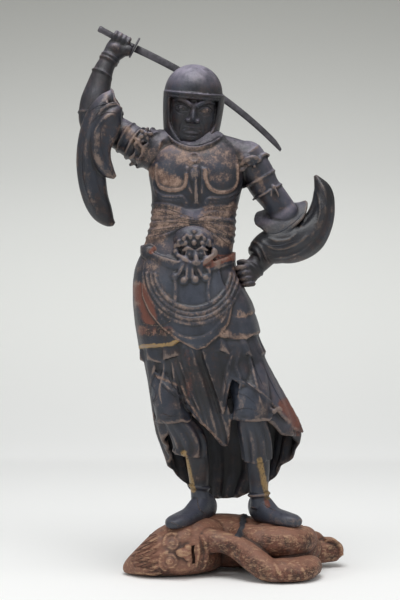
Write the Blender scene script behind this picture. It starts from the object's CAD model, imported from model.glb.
import math

import bmesh
import bpy
import numpy as np
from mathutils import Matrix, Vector
from mathutils.bvhtree import BVHTree


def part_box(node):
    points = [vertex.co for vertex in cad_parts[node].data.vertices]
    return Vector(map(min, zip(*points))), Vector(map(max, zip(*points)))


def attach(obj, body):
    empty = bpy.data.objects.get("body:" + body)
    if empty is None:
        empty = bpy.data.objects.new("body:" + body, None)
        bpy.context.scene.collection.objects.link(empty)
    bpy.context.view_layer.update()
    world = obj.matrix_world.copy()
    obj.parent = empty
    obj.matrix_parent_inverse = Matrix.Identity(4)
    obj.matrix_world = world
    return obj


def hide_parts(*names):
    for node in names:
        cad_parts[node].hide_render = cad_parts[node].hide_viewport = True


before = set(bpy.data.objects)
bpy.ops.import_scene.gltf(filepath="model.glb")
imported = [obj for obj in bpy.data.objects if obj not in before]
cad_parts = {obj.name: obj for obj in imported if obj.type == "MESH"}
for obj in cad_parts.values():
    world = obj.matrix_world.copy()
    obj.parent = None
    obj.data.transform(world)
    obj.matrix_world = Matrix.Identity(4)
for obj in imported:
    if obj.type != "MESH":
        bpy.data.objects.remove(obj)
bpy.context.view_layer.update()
print("frame loaded")

# Sizes and directions shared by every piece, in millimetres unless said

unitSize = 0.001  # metres to one carving unit
seatGap = 0.3  # soles to the demon's back
fittingGap = 0.3  # between the pieces of the sword
gripLook = {"diameter": 11.5, "length": 69.0, "sides": 40}
guardLook = {"diameter": 39.0, "thickness": 3.5, "sides": 64}
bladeLook = {"length": 316.0, "width": 13.5, "thickness": 4.8, "bow": 15.5}
viewerWay = (0.0, -1.0, 0.0)
skyWay = (0.0, 0.0, 1.0)
viewDistance = 2600.0  # camera to the middle of the figure
viewHeight = 460.0
viewScale = 1515.0  # picture points to a slope of one
pictureMiddle = (200, 300)
pictureHeight = 600.0
sensorWidth = 36.0
rayReach = 400.0  # where a ray towards the skin starts
fewestPoints = 4  # a cord with no more than these on the skin is left out


def newObject(name, data):
    made = bpy.data.objects.new(name, data)
    bpy.context.scene.collection.objects.link(made)
    return made


def meshObject(name, verts, faces, finish=None, edges=()):
    mesh = bpy.data.meshes.new(name)
    mesh.from_pydata([tuple(v) for v in verts], list(edges), faces)
    mesh.update()
    if finish:
        mesh.materials.append(finish)
    return newObject(name, mesh)


def evaluatedMesh(made):
    bpy.context.view_layer.update()
    graph = bpy.context.evaluated_depsgraph_get()
    mesh = bpy.data.meshes.new_from_object(made.evaluated_get(graph))
    bpy.data.objects.remove(made, do_unlink=True)
    return mesh


def circle(count):
    return np.linspace(0, 2 * math.pi, count, endpoint=False)


def ringOf(middle, side, front, across, deep, angle):
    return middle + np.outer(across * np.cos(angle), side) + np.outer(deep * np.sin(angle), front)


def unitRows(vectors):
    length = np.linalg.norm(vectors, axis=-1, keepdims=True)
    return vectors / np.maximum(length, 1e-9)


def spline(rows, steps):
    given = np.asarray(rows, float)
    given = np.vstack([2 * given[0] - given[1], given, 2 * given[-1] - given[-2]])
    made = []
    for i in range(1, len(given) - 2):
        before, start, end, after = given[i - 1 : i + 3]
        for k in range(steps):
            t = k / steps
            made.append(
                0.5
                * (
                    2 * start
                    + (end - before) * t
                    + (2 * before - 5 * start + 4 * end - after) * t**2
                    + (3 * start - before - 3 * end + after) * t**3
                )
            )
    made.append(given[-2])
    return np.array(made)


def facingOut(verts, faces):
    volume = 0.0
    for face in faces:
        a, b, c = verts[face[0]], verts[face[1]], verts[face[2]]
        volume += np.dot(a, np.cross(b, c))
        if len(face) == 4:
            volume += np.dot(a, np.cross(c, verts[face[3]]))
    if volume < 0:
        faces = [tuple(reversed(face)) for face in faces]
    return np.asarray(verts, float), faces


def loft(rings):
    rings = np.asarray(rings, float)
    count, around = rings.shape[:2]
    verts = np.vstack([rings.reshape(-1, 3), rings[0].mean(0), rings[-1].mean(0)])
    faces = []
    for i in range(count - 1):
        for j in range(around):
            k = (j + 1) % around
            faces.append((i * around + j, i * around + k, (i + 1) * around + k, (i + 1) * around + j))
    first, last = count * around, count * around + 1
    for j in range(around):
        k = (j + 1) % around
        faces.append((first, k, j))
        faces.append((last, (count - 1) * around + j, (count - 1) * around + k))
    return facingOut(verts, faces)


def limb(stations, around=36, steps=6, front=viewerWay, fold=None, square=2.0):
    rows = spline(stations, steps)
    centre = rows[:, :3]
    along = unitRows(np.gradient(centre, axis=0))
    deep = unitRows(np.array(front) - along * (along @ np.array(front))[:, None])
    side = np.cross(along, deep)
    angle = circle(around)
    cos, sin = np.cos(angle), np.sin(angle)
    cos = np.sign(cos) * np.abs(cos) ** (2 / square)
    sin = np.sign(sin) * np.abs(sin) ** (2 / square)
    share = np.linspace(0, 1, len(rows))
    swell = np.ones((len(rows), around))
    if fold:
        swell = swell + fold(angle[None, :], share[:, None])
    rings = (
        centre[:, None, :]
        + side[:, None, :] * (rows[:, 3, None] * cos * swell)[..., None]
        + deep[:, None, :] * (rows[:, 4, None] * sin * swell)[..., None]
    )
    return loft(rings)


def cord(path, radius, around=8, steps=4):
    points = spline(path, steps)
    radii = np.interp(
        np.linspace(0, 1, len(points)),
        np.linspace(0, 1, np.size(radius)) if np.size(radius) > 1 else [0, 1],
        radius if np.size(radius) > 1 else [radius, radius],
    )
    along = unitRows(np.gradient(points, axis=0))
    side = np.cross(along[0], (0.3, 0.5, 0.8))
    angle = circle(around)
    rings = []
    for point, direction, size in zip(points, along, radii):
        side = unitRows(side - direction * np.dot(side, direction))
        other = np.cross(direction, side)
        rings.append(point + size * (np.outer(np.cos(angle), side) + np.outer(np.sin(angle), other)))
    return loft(rings)


def closedCord(path, radius, around=8):
    points = np.asarray(path, float)
    count = len(points)
    along = unitRows(np.roll(points, -1, 0) - np.roll(points, 1, 0))
    centre = points.mean(0)
    out = unitRows(points - centre)
    out = unitRows(out - along * (out * along).sum(1)[:, None])
    other = np.cross(along, out)
    angle = circle(around)
    rings = points[:, None] + radius * (
        np.cos(angle)[None, :, None] * out[:, None] + np.sin(angle)[None, :, None] * other[:, None]
    )
    verts = rings.reshape(-1, 3)
    faces = []
    for i in range(count):
        n = (i + 1) % count
        for j in range(around):
            k = (j + 1) % around
            faces.append((i * around + j, i * around + k, n * around + k, n * around + j))
    return facingOut(verts, faces)


def slab(grid, thickness, cyclic=False):
    grid = np.asarray(grid, float)
    rows, cols = grid.shape[:2]
    down = np.gradient(grid, axis=0)
    if cyclic:
        across = np.roll(grid, -1, 1) - np.roll(grid, 1, 1)
    else:
        across = np.gradient(grid, axis=1)
    normal = unitRows(np.cross(down, across))
    half = np.broadcast_to(np.asarray(thickness, float) / 2, (rows, cols))[..., None]
    verts = np.vstack([(grid + normal * half).reshape(-1, 3), (grid - normal * half).reshape(-1, 3)])
    size = rows * cols
    faces = []
    last = cols if cyclic else cols - 1
    for i in range(rows - 1):
        for j in range(last):
            k = (j + 1) % cols
            a, b, c, d = i * cols + j, i * cols + k, (i + 1) * cols + k, (i + 1) * cols + j
            faces.append((a, b, c, d))
            faces.append((size + d, size + c, size + b, size + a))
    for j in range(last):
        k = (j + 1) % cols
        faces.append((j, size + j, size + k, k))
        low = (rows - 1) * cols
        faces.append((low + k, size + low + k, size + low + j, low + j))
    if not cyclic:
        for i in range(rows - 1):
            a, b = i * cols, (i + 1) * cols
            faces.append((a, b, size + b, size + a))
            a, b = a + cols - 1, b + cols - 1
            faces.append((size + a, size + b, b, a))
    return facingOut(verts, faces)


def blob(centre, radii, turn=(0.0, 0.0, 0.0), around=24, rings=14):
    fromPole = np.linspace(0.04, math.pi - 0.04, rings)
    angle = circle(around)
    points = np.stack(
        [
            np.outer(np.sin(fromPole), np.cos(angle)),
            np.outer(np.sin(fromPole), np.sin(angle)),
            np.outer(np.cos(fromPole), np.ones(around)),
        ],
        -1,
    ) * np.array(radii)
    return loft(points @ turned(turn).T + np.array(centre))


def turned(degrees):
    x, y, z = (math.radians(a) for a in degrees)
    aboutX = np.array([[1, 0, 0], [0, math.cos(x), -math.sin(x)], [0, math.sin(x), math.cos(x)]])
    aboutY = np.array([[math.cos(y), 0, math.sin(y)], [0, 1, 0], [-math.sin(y), 0, math.cos(y)]])
    aboutZ = np.array([[math.cos(z), -math.sin(z), 0], [math.sin(z), math.cos(z), 0], [0, 0, 1]])
    return aboutZ @ aboutY @ aboutX


def moved(lump, turn, place):
    verts, faces = lump
    return verts @ turned(turn).T + np.array(place), faces


class Skin:
    def __init__(self, lumps):
        verts, faces = joined(lumps)
        self.tree = BVHTree.FromPolygons([tuple(v) for v in verts], faces)

    def front(self, x, z, lift=0.0):
        point = self.tree.ray_cast(Vector((x, -rayReach, z)), Vector((0, 1, 0)))[0]
        return None if point is None else np.array((x, point[1] - lift, z))

    def round(self, angle, z, centre=(0.0, 0.0), lift=0.0):
        out = np.array((math.cos(math.radians(angle)), math.sin(math.radians(angle)), 0.0))
        start = np.array((*centre, z)) + out * rayReach
        point = self.tree.ray_cast(Vector(start), Vector(-out))[0]
        return None if point is None else np.array(point) + out * lift

    def frontPath(self, places, lift=0.0, steps=4):
        found = [self.front(x, z, lift) for x, z in spline(places, steps)]
        return [p for p in found if p is not None]


def laidCord(skin, path, lift, radius, steps=4, around=8, fine=4):
    return cord(skin.frontPath(path, lift, steps), radius, around, fine)


def joined(lumps):
    verts, faces, start = [], [], 0
    for points, polygons in lumps:
        verts.append(points)
        faces.extend(tuple(start + i for i in polygon) for polygon in polygons)
        start += len(points)
    return np.vstack(verts), faces


def largestBody(mesh):
    work = bmesh.new()
    work.from_mesh(mesh)
    work.verts.ensure_lookup_table()
    seen = np.zeros(len(work.verts), bool)
    shells = []
    for start in work.verts:
        if seen[start.index]:
            continue
        seen[start.index] = True
        shell, queue = [start], [start]
        while queue:
            for edge in queue.pop().link_edges:
                for vert in edge.verts:
                    if not seen[vert.index]:
                        seen[vert.index] = True
                        shell.append(vert)
                        queue.append(vert)
        shells.append(shell)
    shells.sort(key=len)
    for shell in shells[:-1]:
        bmesh.ops.delete(work, geom=shell, context="VERTS")
    work.to_mesh(mesh)
    work.free()
    mesh.update()


def meshArrays(mesh):
    points = np.empty(len(mesh.vertices) * 3)
    mesh.vertices.foreach_get("co", points)
    normals = np.empty(len(mesh.vertices) * 3)
    mesh.vertices.foreach_get("normal", normals)
    edges = np.empty(len(mesh.edges) * 2, np.int32)
    mesh.edges.foreach_get("vertices", edges)
    return points.reshape(-1, 3), normals.reshape(-1, 3), edges.reshape(-1, 2)


def neighbourMean(points, edges):
    ends = np.concatenate([edges, edges[:, ::-1]])
    count = np.maximum(np.bincount(ends[:, 0], minlength=len(points)), 1)[:, None]
    sums = [np.bincount(ends[:, 0], points[ends[:, 1], axis], len(points)) for axis in range(3)]
    return np.stack(sums, 1) / count


def fused(name, lumps, voxel, rounds, single):
    verts, faces = joined(lumps)
    rough = meshObject(name + "Rough", verts, faces)
    remesh = rough.modifiers.new("oneSkin", "REMESH")
    remesh.mode = "VOXEL"
    remesh.voxel_size = voxel
    remesh.adaptivity = 0.0
    mesh = evaluatedMesh(rough)
    if single:
        largestBody(mesh)
    points, _, edges = meshArrays(mesh)
    for _ in range(rounds):
        points = points + (neighbourMean(points, edges) - points) / 2
    mesh.vertices.foreach_set("co", points.ravel())
    mesh.update()
    return mesh


# The figure's trunk, neck and shoulders


def trunk():
    body = limb([
        (-20, 6, 400, 84, 60), (-22, 4, 445, 88, 64), (-24, 2, 489, 86, 66), (-24, 1, 520, 80, 64),
        (-18, 0, 552, 75, 58), (-12, -1, 585, 72.5, 53), (-10.5, 1, 615, 72.5, 53),
        (-7.5, 2, 645, 77, 56), (-5.5, 4, 680, 83, 57), (-3, 8, 708, 76, 50), (-4, 12, 730, 52, 40),
        (-8, 14, 752, 31, 31), (-9, 10, 790, 28, 30),
    ], around=60, square=2.3)
    shoulders = limb([
        (-84, 10, 722, 30, 30), (-56, 12, 728, 26, 32), (-6, 13, 730, 24, 36), (46, 11, 716, 26, 33),
        (84, 8, 700, 30, 31),
    ], steps=6)
    return [body, shoulders, blob((-78, 9, 718), (36, 34, 35)), blob((80, 7, 700), (34, 33, 34))]


# The head


headPlace = (-11.5, 4, 793)
headTurn = (9, 4.5, 2)  # nod, tilt, turn, in degrees


def bump(x, z, atX, atZ, wide, tall, height, slant=0.0):
    turn = math.radians(slant)
    dx, dz = x - atX, z - atZ
    across = dx * math.cos(turn) + dz * math.sin(turn)
    up = dz * math.cos(turn) - dx * math.sin(turn)
    return height * np.exp(-((across / wide) ** 2) - (up / tall) ** 2)


def faceRelief(x, z):
    out = bump(x, z, 0, 14, 28, 10, 1.5)
    out += bump(x, z, 0, -4, 5.0, 9, 5.0) + bump(x, z, 0, -15, 5.0, 8, 10.0)
    out += bump(x, z, 0, -22, 6.0, 5.0, 8.0)
    for side in (-1, 1):
        out += bump(x, z, side * 20, 7.5, 14, 3.8, 5.0, side * 18)
        out += bump(x, z, side * 6.5, 1.5, 4.0, 3.8, 2.8)
        out += bump(x, z, side * 19, -3.5, 10, 6.0, -4.0)
        out += bump(x, z, side * 19, -4.5, 7.0, 4.4, 5.0)
        out += bump(x, z, side * 8.4, -23.5, 3.6, 3.8, 5.2)
        out += bump(x, z, side * 27, -18, 11, 10, 3.2)
        out += bump(x, z, side * 17, -31, 3.0, 9, -2.0, side * 28)
    out += bump(x, z, 0, -35.0, 14, 2.4, 3.4) + bump(x, z, 0, -38.6, 15, 1.6, -2.6)
    out += bump(x, z, 0, -42.4, 12, 2.8, 3.2) + bump(x, z, 0, -55, 12, 7.0, 5.0)
    return out


def face():
    rows = spline([
        (-68, 12, 13, -16), (-64, 22, 25, -14), (-54, 32, 35, -10), (-38, 39, 42, -5),
        (-14, 43, 46, -2), (10, 44, 45, -1), (34, 40, 41, 0),
    ], 7)
    angle = circle(110)
    rings = []
    for z, halfWidth, halfDepth, back in rows:
        x = halfWidth * np.cos(angle)
        y = back + halfDepth * np.sin(angle)
        ahead = np.clip(-np.sin(angle), 0, 1) ** 0.5
        y = y - faceRelief(x, np.full_like(x, z)) * ahead
        rings.append(np.stack([x, y, np.full_like(x, z)], 1))
    return loft(rings)


def helmet():
    cap = [(-1.5, 4, 12, 48, 56)]
    for rise in np.linspace(0, math.radians(88.6), 12):
        cap.append((-1.5, 4, 22 + 49 * math.sin(rise), 50 * math.cos(rise), 59 * math.cos(rise)))
    dome = limb(cap, around=64, steps=2)
    angle = np.radians(np.linspace(0, 360, 72, endpoint=False))
    rim = np.stack([50.5 * np.cos(angle), 3 + 59.5 * np.sin(angle), np.full_like(angle, 21.0)], 1)
    lower = rim * (0.985, 0.985, 1) - (0, 0, 6)
    start, end = math.radians(-31), math.radians(211)
    rows = []
    for t in np.linspace(0, 1, 20):
        z = 21 - 96 * t
        wide = 50.5 - 1.0 * t - 10 * t**2
        deep = 58 - 3 * t - 9 * t**2
        close = 0.06 * t + 0.88 * max(0.0, (t - 0.5) / 0.5) ** 1.6
        near = np.linspace(start - close, end + close, 64)
        rows.append(np.stack([wide * np.cos(near), 3 + deep * np.sin(near), np.full_like(near, z)], 1))
    hood = slab(rows, 5.0)
    edges = [cord([row[side] for row in rows], 2.6) for side in (0, -1)]
    chinBand = cord([rows[-1][0], (0, -44, -79), rows[-1][-1]], 4.0)
    return [dome, closedCord(rim, 2.6), closedCord(lower, 2.0), hood, *edges, chinBand]


def head():
    return [moved(lump, headTurn, headPlace) for lump in [face(), *helmet()]]


# The arms, sleeves and hands


def wavyCuff(centre, along, side, front, inner, reach, lobes, wave, thickness):
    centre, along, side, front = (np.asarray(v, float) for v in (centre, along, side, front))
    angle = circle(96)
    rows = []
    for t in np.linspace(0, 1, 8):
        radius = inner + reach * t + wave * t * np.cos(lobes * angle)
        ring = ringOf(centre + along * (1.2 * reach * t), side, front, radius, radius, angle)
        rows.append(ring + np.outer(wave * t * np.sin(lobes * angle), along))
    return slab(rows, thickness, cyclic=True)


def raisedArm():
    upper = limb([
        (-66, 8, 711, 37, 36), (-103, 14, 725, 30, 32), (-137, 20, 746, 27.5, 30),
        (-165, 26, 761, 27, 28), (-188, 31, 770, 22, 24),
    ])
    lower = limb([
        (-184, 30, 752, 13, 15), (-187, 31, 768, 23, 23), (-184, 34, 800, 25, 24),
        (-177, 39, 830, 21.5, 21), (-169, 43, 858, 17.5, 17.5), (-160, 47, 878, 15, 14.5),
        (-155, 48, 888, 15, 14),
    ])
    return [upper, lower, blob((-186, 31, 766), (23, 24, 22))]


def armFrame(start, end):
    along = unitRows(np.subtract(end, start).astype(float))
    deep = unitRows(np.array(viewerWay) - along * np.dot(along, viewerWay))
    return along, np.cross(along, deep), deep


def ringOn(centre, along, side, deep, radiusSide, radiusDeep, thickness, wave=0.0, lobes=0):
    angle = circle(40)
    ring = ringOf(np.asarray(centre, float), side, deep, radiusSide, radiusDeep, angle)
    return closedCord(ring + np.outer(wave * np.cos(lobes * angle), along), thickness)


def raisedArmTrim():
    way = armFrame((-103, 14, 722), (-137, 20, 744))
    trim = [
        wavyCuff((-94, 12, 720), *way, 29.5, 7, 8, 2.6, 4.0),
        wavyCuff((-84, 10, 717), *way, 32, 5, 8, 2.2, 4.0),
        ringOn((-112, 15, 730), *way, 30.5, 32.5, 2.4),
        ringOn((-128, 18, 740), *way, 29, 31.5, 1.8),
    ]
    way = armFrame((-187, 31, 768), (-182, 34, 803))
    trim.append(ringOn((-186, 32, 782), *way, 25.5, 25, 1.8))
    way = armFrame((-169, 43, 858), (-152, 49, 891))
    for place, size, thick in (
        ((-171, 42, 853), 19, 1.6),
        ((-160, 47, 877), 16.4, 2.0),
        ((-157, 48, 883), 15.8, 2.4),
    ):
        trim.append(ringOn(place, *way, size, size, thick))
    return trim


def raisedSleeve():
    def gathers(angle, share):
        return 0.07 * np.sin(5 * angle + 2.5 * share) * np.sin(math.pi * np.clip(share * 1.1, 0, 1))

    longLobe = limb([
        (-151, 4, 817, 5, 10), (-160, 3, 803, 14, 20), (-175, 1, 777, 19, 26), (-185, 1, 744, 21, 28),
        (-187, 3, 704, 24, 28), (-184.5, 7, 667, 24, 27), (-179, 10, 636, 22, 24),
        (-169, 12, 612, 19, 19), (-158, 13, 597, 12, 13), (-148, 13, 590, 4, 5),
    ], around=48, fold=gathers)
    shortLobe = limb([
        (-139, -10, 789, 8, 12), (-152, -16, 772, 21, 20), (-165, -18, 746, 25, 22),
        (-171, -17, 719, 21, 20), (-167, -15, 697, 17, 17), (-157, -12, 680, 12, 12),
        (-145, -9, 669, 4, 5),
    ], around=48, fold=gathers)
    along, across = (0.909, 0.0, 0.416), (-0.416, 0.0, 0.909)
    collar = [
        wavyCuff((-150, 6, 795), along, across, viewerWay, 17, 8, 3, 1.6, 4.4),
        wavyCuff((-160, 2, 780), along, across, viewerWay, 20, 8, 3, 1.8, 4.4),
    ]
    swell = [2.5, 4.5, 4.5, 2.5]
    folds = [
        cord([(-133, -12, 786), (-148, -27, 792), (-166, -30, 780), (-181, -26, 752)], swell, 10),
        cord([(-134, -16, 771), (-150, -33, 774), (-170, -37, 756), (-184, -31, 724)], swell, 10),
    ]
    return [longLobe, shortLobe, *collar, *folds]


fistMiddle = np.array((-146.8, 50.0, 918.3))  # the middle of the grip
swordAlong = unitRows(np.array((0.877, 0.110, -0.463)))  # from pommel to guard
swordUp = np.array((0.463, 0.0, 0.877))
swordUp = unitRows(swordUp - swordAlong * np.dot(swordAlong, swordUp))
swordFront = np.cross(swordAlong, swordUp) * -1.0
gripEnd = gripLook["length"] / 2
guardStart = gripEnd + fittingGap
guardEnd = guardStart + guardLook["thickness"]


def roundGrip(shift, radius, degrees):
    a = math.radians(degrees)
    return fistMiddle + swordAlong * shift + radius * (math.cos(a) * swordUp + math.sin(a) * swordFront)


def swordFist():
    finger = 3.8
    reach = gripLook["diameter"] / 2 + finger * 0.8
    lumps = [
        limb([
            (-160, 47, 878, 15, 14), (-154, 48, 888, 16.5, 13.5), (-147, 50, 897, 19.5, 13),
            (-139, 52, 905, 20, 11.5), (-132, 55, 911, 16, 9),
        ]),
        blob((-149, 43, 897), (13, 9, 12)),
        blob((-128, 46, 895), (12, 9, 10)),
    ]
    for i in range(4):
        shift = -3.0 + 8.3 * i
        arc = []
        for degrees in (-165, -120, -80, -30, 10, 55, 95, 135):
            arc.append(roundGrip(shift, reach + (0.8 if degrees in (-80, -30) else 0.0), degrees))
        lumps.append(cord(arc, finger * np.array((1, 1, 1.1, 1.08, 1, 0.96, 0.92, 0.8)), 10))
    thumb = [(12, 9, 185), (20, 7, 170), (27, 3, 150), (29, 0, 115)]
    thumb = [roundGrip(shift, reach + off, degrees) for shift, off, degrees in thumb]
    lumps.append(cord(thumb, [6.6, 6.0, 5.0, 3.8], 10))
    return lumps


def hipArm():
    upper = limb([
        (76, 6, 708, 32, 33), (99, 8, 677, 28.5, 30), (111, 10, 655, 26, 28), (131, 14, 630, 24.5, 27),
        (144, 18, 606, 27, 28), (152, 22, 582, 26, 27),
    ])
    lower = limb([
        (152, 20, 574, 22, 22), (124, 8, 548, 21, 20), (104, 0, 528, 19.5, 18), (91, -6, 513, 16.5, 15),
        (84, -9, 506, 15, 13),
    ])
    return [upper, lower, blob((122, 20, 602), (13, 16, 17))]


def hipArmTrim():
    way = armFrame((80, 6, 706), (109, 10, 654))
    trim = [
        wavyCuff((82, 7, 699), *way, 30, 7, 7, 3.0, 4.0),
        ringOn((102, 9, 668), *way, 30, 30, 2.0),
        ringOn((116, 11, 646), *way, 28, 28.5, 1.8),
    ]
    knot = np.array((126, -15, 652))
    trim += [blob(knot, (4, 4, 4)), cord([knot, knot + (5, -2, -8), knot + (9, 0, -16)], [2.4, 2.2, 1.4])]
    trim += [cord([knot, knot + (-4, -2, -7), knot + (-5, 0, -15)], [2.4, 2.2, 1.4])]
    angle = circle(96)
    rows = []
    for t in np.linspace(0, 1, 9):
        radius = 26 + 22 * t**0.8
        middle = np.array((136, 17, 612)) + np.array((3, 2, -9)) * t
        across, towards = (0.965, 0.0, 0.262), (0.03, -0.80, -0.56)
        ripple = 2.6 * t * np.cos(5 * angle + 0.6) + 9.0 * t**2 * np.cos(2 * angle)
        ring = ringOf(middle, across, towards, radius, radius * 0.92, angle)
        rows.append(ring + np.outer(ripple, (0.1, 0.1, 1.0)))
    trim.append(slab(rows, 4.4, cyclic=True))
    way = armFrame((104, 0, 528), (84, -9, 506))
    trim.append(ringOn((93, -5, 515), *way, 18, 16.5, 2.2))
    trim.append(ringOn((89, -7, 511), *way, 16.8, 15.5, 2.0))
    return trim


def hipSleeve():
    def gathers(angle, share):
        deep = np.clip(share * 2.2, 0, 1) * np.clip((1.05 - share) * 3, 0, 1)
        return 0.085 * deep * np.cos(4 * angle - 1.2 + 1.5 * share) + 0.03 * deep * np.cos(9 * angle)

    bag = limb([
        (96, 0, 531, 19, 20), (112, 5, 546, 28, 27), (134, 10, 555, 32, 32), (160, 14, 560, 34, 34),
        (186, 18, 572, 31, 31), (205, 22, 597, 24, 25), (213, 25, 626, 19, 21), (212, 26, 650, 15, 17),
        (204, 27, 668, 7, 9), (199, 27, 676, 2.5, 4),
    ], around=60, fold=gathers)
    cuff = limb([
        (150, 20, 606, 22, 23), (146, 17, 590, 26, 27), (140, 14, 570, 30, 29), (132, 10, 552, 28, 28),
    ], around=48)
    way = armFrame((124, 8, 548), (96, 0, 531))
    lips = [
        ringOn((97, 0, 532), *way, 20.5, 21.5, 2.6, 1.2, 3),
        ringOn((103, 2, 538), *way, 24.5, 25, 2.2, 1.2, 3),
    ]
    skin = Skin([bag, cuff])
    folds = []
    for places, radius in (
        ([(104, 560), (122, 548), (142, 547), (166, 556), (184, 570)], 2.6),
        ([(98, 552), (118, 536), (142, 533), (168, 541), (192, 560)], 2.4),
        ([(112, 568), (130, 560), (150, 562), (164, 572)], 2.2),
        ([(172, 584), (180, 600), (186, 622), (190, 646)], 2.4),
        ([(196, 664), (204, 640), (206, 612), (200, 590)], 2.2),
    ):
        folds.append(laidCord(skin, places, 0.2, [radius * 0.5, radius, radius, radius * 0.5], fine=1))
    return [bag, cuff, *lips, *folds]


def hipFist():
    lumps = [limb([(92, -6, 514, 17, 13), (82, -10, 506, 20, 13), (75, -12, 500, 19, 11)])]
    for i in range(4):
        z = 514 - 9.4 * i
        x = 66 + 3.6 * i
        finger = [(x + 16, -17, z + 1.5), (x + 7, -23, z + 1), (x - 2, -20, z), (x - 5, -12, z - 1)]
        lumps.append(cord(finger, [4.6, 5.3, 4.9, 4.0], 10))
    lumps.append(cord([(84, -15, 521), (73, -14, 525), (63, -11, 523)], [5.4, 5.2, 4.2], 10))
    return lumps


# The armour skirts and the robe


hipTable = np.array([  # height, middle x and y, half width, half depth
    (575, -13, -1, 71, 53), (552, -18, -1, 75, 58), (534, -24, 0, 79, 62), (511, -25.5, 0, 83.5, 66),
    (489, -23, 0, 89, 71), (455, -13.5, 2, 98.5, 77), (420, -6, 4, 102.5, 81), (388, 0.5, 5, 103.5, 82),
    (357, 8, 8, 106.5, 80), (323, 20, 12, 112.5, 80), (288, 31.5, 16, 119.5, 80),
    (254, 42, 20, 126, 79), (228, 49, 24, 127.5, 76), (185, 53, 31, 115, 70), (151, 52, 37, 104, 62),
    (110, 44, 41, 82, 52),
])


def drape(start, end, top, hem, out, thickness, pleats, columns, rows=26, roll=0.0):
    full = end - start >= 360
    angle = np.linspace(start, end, columns, endpoint=not full)
    turn = np.radians(angle)
    low = hem(angle)
    grid = []
    for t in np.linspace(0, 1, rows):
        z = top + (low - top) * t
        cx, cy, wide, deep = (np.interp(-z, -hipTable[:, 0], column) for column in hipTable[:, 1:].T)
        tucked = (out + 6.0) * max(0.0, 1 - 5 * t) ** 1.5
        stand = out - tucked + (pleats(angle, t) if pleats else 0.0)
        grid.append(np.stack([cx + (wide + stand) * np.cos(turn), cy + (deep + stand) * np.sin(turn), z], 1))
    lumps = [slab(grid, thickness, cyclic=full)]
    if roll:
        edge = grid[-1]
        lumps.append(closedCord(edge, roll) if full else cord(edge, roll, 8, 1))
    return lumps


def alongHem(places):
    angles, heights = zip(*places)

    def height(angle):
        return np.interp(angle, angles, heights)

    return height


def hipCore():
    rows = [(cx, cy, z, wide - 4, deep - 4) for z, cx, cy, wide, deep in hipTable[:8][::-1]]
    return limb(rows, around=56, steps=3)


def armourSkirt():
    def soft(angle, t):
        return 1.5 * np.sin(np.radians(angle) * 9) * t

    left = alongHem([(150, 372), (200, 382), (232, 385), (243, 387), (262, 404)])
    back = alongHem([(20, 388), (60, 380), (110, 374), (152, 372)])
    upper = alongHem([(-84, 456), (-66, 440), (-56, 434), (-44, 431), (-30, 436), (0, 440), (24, 440)])
    lower = alongHem([
        (-84, 412), (-76, 406), (-68, 400), (-56, 397), (-40, 397), (-28, 403), (-10, 404), (24, 406),
    ])
    apron = alongHem([
        (-142, 470), (-134, 440), (-122, 414), (-110, 396), (-100, 384), (-94, 378), (-86, 383),
        (-72, 402), (-60, 424), (-50, 456),
    ])
    return [
        *drape(150, 262, 546, left, 0.0, 7.0, soft, 60, roll=4.0),
        *drape(20, 152, 546, back, -1.5, 7.0, soft, 80, roll=3.0),
        *drape(-88, 24, 546, upper, 2.0, 6.0, soft, 60, roll=2.4),
        *drape(-88, 24, 440, lower, 1.0, 6.0, soft, 60, roll=2.6),
        *drape(-142, -50, 542, apron, 5.0, 6.0, None, 72, roll=2.4),
    ]


def ruffle():
    def frill(angle, t):
        turn = np.radians(angle)
        return t * (5.0 + 3.4 * np.sin(turn * 14) + 1.2 * np.sin(turn * 31 + 1.0))

    hem = alongHem([
        (-180, 354), (-150, 356), (-124, 358), (-112, 372), (-100, 390), (-88, 388), (-78, 374),
        (-60, 366), (-30, 364), (0, 366), (40, 360), (100, 350), (180, 354),
    ])

    def scalloped(angle):
        return hem((angle + 180) % 360 - 180) + 3.0 * np.sin(np.radians(angle) * 14 + 0.7)

    return drape(-180, 180, 420, scalloped, -6.0, 5.5, frill, 180, 16)


def robe():
    def pleats(angle, t):
        narrow = np.clip((angle + 128) / 10, 0, 1) * np.clip((-82 - angle) / 6, 0, 1)
        deep = -9.0 * np.exp(-(((angle + 93) / 2.6) ** 2))
        return min(1.0, 4 * t) * narrow * (2.4 * np.cos(np.radians(angle + 128) * 76) + deep) - 3.0 * t

    def longFolds(angle, t):
        return t * (4.6 * np.sin(np.radians(angle) * 9 + 0.5) + 2.4 * np.sin(np.radians(angle) * 23 + 1.5))

    def swung(angle, t):
        return 3.0 * t * np.sin(np.radians(angle) * 12 + 3.0 * t) + 3.0 * t

    middle = alongHem([
        (-158, 330), (-150, 352), (-143, 330), (-136, 314), (-124, 306), (-120, 282), (-112, 258),
        (-104, 240), (-97, 215), (-93, 213), (-89, 236), (-84, 268),
    ])
    curtain = alongHem([
        (-52, 262), (-40, 232), (-10, 226), (4, 208), (14, 184), (26, 168), (34, 148), (52, 126),
        (72, 112), (92, 110), (118, 112), (140, 128), (152, 142), (160, 160), (172, 172), (186, 198),
        (200, 214), (216, 240),
    ])
    panel = alongHem([
        (-90, 268), (-84, 290), (-78, 312), (-72, 330), (-67, 322), (-58, 304), (-50, 292), (-43, 284),
        (-38, 262), (-28, 244), (-8, 232),
    ])
    leftEdge = alongHem([(184, 262), (196, 236), (206, 268), (214, 292)])
    return [
        *drape(-158, -84, 400, middle, -6.0, 7.0, pleats, 150, 40, roll=2.4),
        *drape(-52, 216, 390, curtain, -8.0, 7.0, longFolds, 170, 40, roll=3.0),
        *drape(184, 214, 392, leftEdge, -3.0, 6.0, longFolds, 30),
        *drape(-90, -8, 400, panel, -3.0, 6.0, swung, 90, 34, roll=2.4),
    ]


# The legs and boots


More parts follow.
